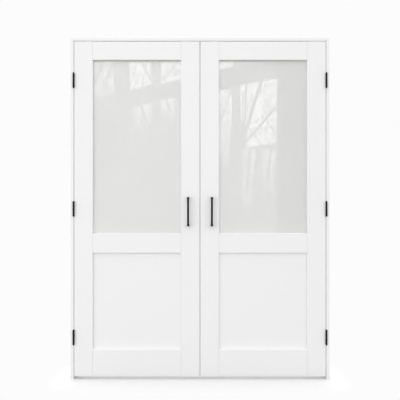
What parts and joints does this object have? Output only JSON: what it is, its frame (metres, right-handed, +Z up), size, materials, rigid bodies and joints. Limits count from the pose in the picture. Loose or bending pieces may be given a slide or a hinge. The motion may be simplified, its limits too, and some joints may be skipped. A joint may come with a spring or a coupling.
{
  "type": "prehung french doors",
  "caption": "Pair of half-glazed panel doors with bar pulls, hung on butt hinges in a jamb frame with stops.",
  "frame": {"origin": "under the middle of the unit, on the plane that the side jambs stand on, halfway through its depth", "axes": "+X across the opening to the right, +Y to the back, +Z up; the leaves open towards -Y"},
  "size_m": [1.572, 0.113, 2.073],
  "materials": {
    "white_paint": "satin white paint on timber",
    "glass": "frosted, smooth and glossy in front",
    "black_metal": "matte black",
    "grey_seal": "soft, matte",
    "bright_steel": "plain"
  },
  "bodies": {
    "frame": {"frame_screws": "bright_steel", "head_jamb": "white_paint", "hinge_bottom_jamb_plate_left": "black_metal", "hinge_bottom_jamb_plate_right": "black_metal", "hinge_middle_jamb_plate_left": "black_metal", "hinge_middle_jamb_plate_right": "black_metal", "hinge_pins_left": "black_metal", "hinge_pins_right": "black_metal", "hinge_screws_jamb_left": "black_metal", "hinge_screws_jamb_right": "black_metal", "hinge_top_jamb_plate_left": "black_metal", "hinge_top_jamb_plate_right": "black_metal", "jamb_left": "white_paint", "jamb_right": "white_paint", "stop_head": "white_paint", "stop_left": "white_paint", "stop_right": "white_paint", "strike_left": "black_metal", "strike_right": "black_metal", "strike_screws": "black_metal"},
    "left_leaf": {"bottom_rail_left": "white_paint", "catch_case_left": "bright_steel", "catch_spring_left": "bright_steel", "glass_pane_left": "glass", "glazing_beads_left": "white_paint", "hinge_bottom_leaf_plate_left": "black_metal", "hinge_middle_leaf_plate_left": "black_metal", "hinge_screws_leaf_left": "black_metal", "hinge_stile_left": "white_paint", "hinge_top_leaf_plate_left": "black_metal", "lock_rail_left": "white_paint", "meeting_seal_left": "grey_seal", "meeting_stile_left": "white_paint", "panel_left": "white_paint", "pull_bolts_left": "black_metal", "pull_left": "black_metal", "top_rail_left": "white_paint"},
    "left_plunger": {"catch_plunger_left": "bright_steel"},
    "right_leaf": {"bottom_rail_right": "white_paint", "catch_case_right": "bright_steel", "catch_spring_right": "bright_steel", "glass_pane_right": "glass", "glazing_beads_right": "white_paint", "hinge_bottom_leaf_plate_right": "black_metal", "hinge_middle_leaf_plate_right": "black_metal", "hinge_screws_leaf_right": "black_metal", "hinge_stile_right": "white_paint", "hinge_top_leaf_plate_right": "black_metal", "lock_rail_right": "white_paint", "meeting_seal_right": "grey_seal", "meeting_stile_right": "white_paint", "panel_right": "white_paint", "pull_bolts_right": "black_metal", "pull_right": "black_metal", "top_rail_right": "white_paint"},
    "right_plunger": {"catch_plunger_right": "bright_steel"}
  },
  "joints": [
    {"name": "left_leaf_swing", "type": "hinge", "parent": "frame", "child": "left_leaf", "pos_m": [-0.7655, -0.0325, 1.035], "axis": [0, 0, -1], "range_deg": [0, 175]},
    {"name": "left_plunger_press", "type": "slide", "parent": "left_leaf", "child": "left_plunger", "axis": [0, 0, -1], "range_m": [0, 0.004], "stiffness_N_per_m": 3000, "springref_m": -0.002, "deforming": ["catch_spring_left"]},
    {"name": "right_leaf_swing", "type": "hinge", "parent": "frame", "child": "right_leaf", "pos_m": [0.7655, -0.0325, 1.035], "axis": [0, 0, 1], "range_deg": [0, 175]},
    {"name": "right_plunger_press", "type": "slide", "parent": "right_leaf", "child": "right_plunger", "axis": [0, 0, -1], "range_m": [0, 0.004], "stiffness_N_per_m": 3000, "springref_m": -0.002, "deforming": ["catch_spring_right"]}
  ]
}
